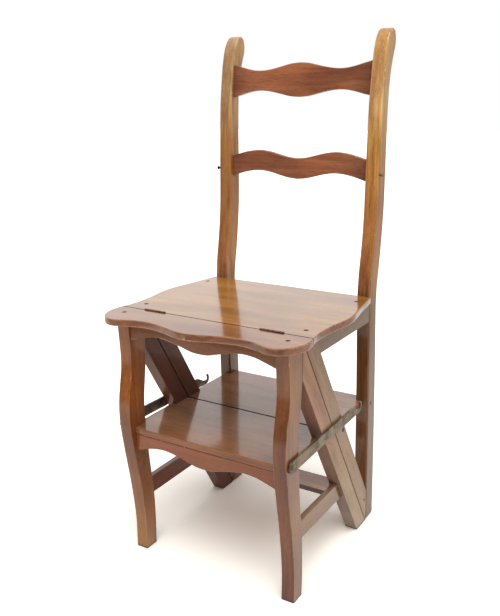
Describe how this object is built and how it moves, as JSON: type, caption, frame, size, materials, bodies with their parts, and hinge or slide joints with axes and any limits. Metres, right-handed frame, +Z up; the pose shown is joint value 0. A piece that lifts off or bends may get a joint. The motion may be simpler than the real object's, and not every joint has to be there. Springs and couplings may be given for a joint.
{
  "type": "library step chair",
  "caption": "Wooden side chair hinged along its seat, so that the back half turns over onto the front half to make library steps, with hook bars to lock it.",
  "frame": {"origin": "centre of the chair's floor footprint, at floor level", "axes": "+Z up, +Y to the back of the chair, +X to the right as seen from the front; the hinge line runs along X"},
  "size_m": [0.3738, 0.4132, 0.9006],
  "materials": {
    "frame_wood": "polished reddish brown, worn on the edges",
    "seat_wood": "high polish, faint grain",
    "post_wood": "polished golden brown",
    "slat_wood": "polished reddish brown",
    "shelf_wood": "high polish, dark",
    "bar_iron": "aged, olive grey, dull",
    "dark_iron": "aged, dark brown, dull"
  },
  "bodies": {
    "front_section": {"front_leg_left": "frame_wood", "front_leg_right": "frame_wood", "front_strut_left": "frame_wood", "front_strut_right": "frame_wood", "seat_front_board": "seat_wood", "seat_apron": "frame_wood", "shelf_front_board": "shelf_wood", "shelf_apron": "frame_wood", "side_stretcher_left": "frame_wood", "side_stretcher_right": "frame_wood", "low_tread": "shelf_wood", "hinge_front_leaf_left": "dark_iron", "hinge_front_leaf_right": "dark_iron", "hinge_pin_left": "dark_iron", "hinge_pin_right": "dark_iron", "hinge_front_screw_left_outer": "dark_iron", "hinge_front_screw_left_inner": "dark_iron", "hinge_front_screw_right_outer": "dark_iron", "hinge_front_screw_right_inner": "dark_iron", "seat_front_screw_left": "dark_iron", "seat_front_screw_right": "dark_iron", "hook_pivot_screw_left": "dark_iron", "hook_pivot_screw_right": "dark_iron", "hook_washer_left": "dark_iron", "hook_washer_right": "dark_iron"},
    "back_section": {"back_post_left": "post_wood", "back_post_right": "post_wood", "rear_strut_left": "frame_wood", "rear_strut_right": "frame_wood", "top_slat": "slat_wood", "middle_slat": "slat_wood", "seat_rear_board": "seat_wood", "seat_side_rail_left": "frame_wood", "seat_side_rail_right": "frame_wood", "shelf_rear_board": "shelf_wood", "hinge_rear_leaf_left": "dark_iron", "hinge_rear_leaf_right": "dark_iron", "hinge_rear_screw_left_outer": "dark_iron", "hinge_rear_screw_left_inner": "dark_iron", "hinge_rear_screw_right_outer": "dark_iron", "hinge_rear_screw_right_inner": "dark_iron", "seat_rear_screw_left_front": "dark_iron", "seat_rear_screw_left_back": "dark_iron", "seat_rear_screw_right_front": "dark_iron", "seat_rear_screw_right_back": "dark_iron", "shelf_screw_left": "dark_iron", "shelf_screw_right": "dark_iron", "toe_screw_left": "dark_iron", "toe_screw_right": "dark_iron", "lock_stud_left": "dark_iron", "lock_stud_right": "dark_iron", "park_stud_left": "dark_iron", "park_stud_right": "dark_iron"},
    "hook_bar_left": {"hook_bar_left": "bar_iron"},
    "hook_bar_right": {"hook_bar_right": "bar_iron"}
  },
  "joints": [
    {"name": "fold", "type": "hinge", "parent": "front_section", "child": "back_section", "pos_m": [0, -0.13211, 0.4503], "axis": [1, 0, 0], "range_deg": [0, 180]},
    {"name": "hook_bar_left_swing", "type": "hinge", "parent": "front_section", "child": "hook_bar_left", "pos_m": [0.16625, -0.1654, 0.251], "axis": [1, 0, 0], "range_deg": [-220, 40]},
    {"name": "hook_bar_right_swing", "type": "hinge", "parent": "front_section", "child": "hook_bar_right", "pos_m": [-0.16625, -0.1654, 0.251], "axis": [1, 0, 0], "range_deg": [-220, 40]}
  ]
}
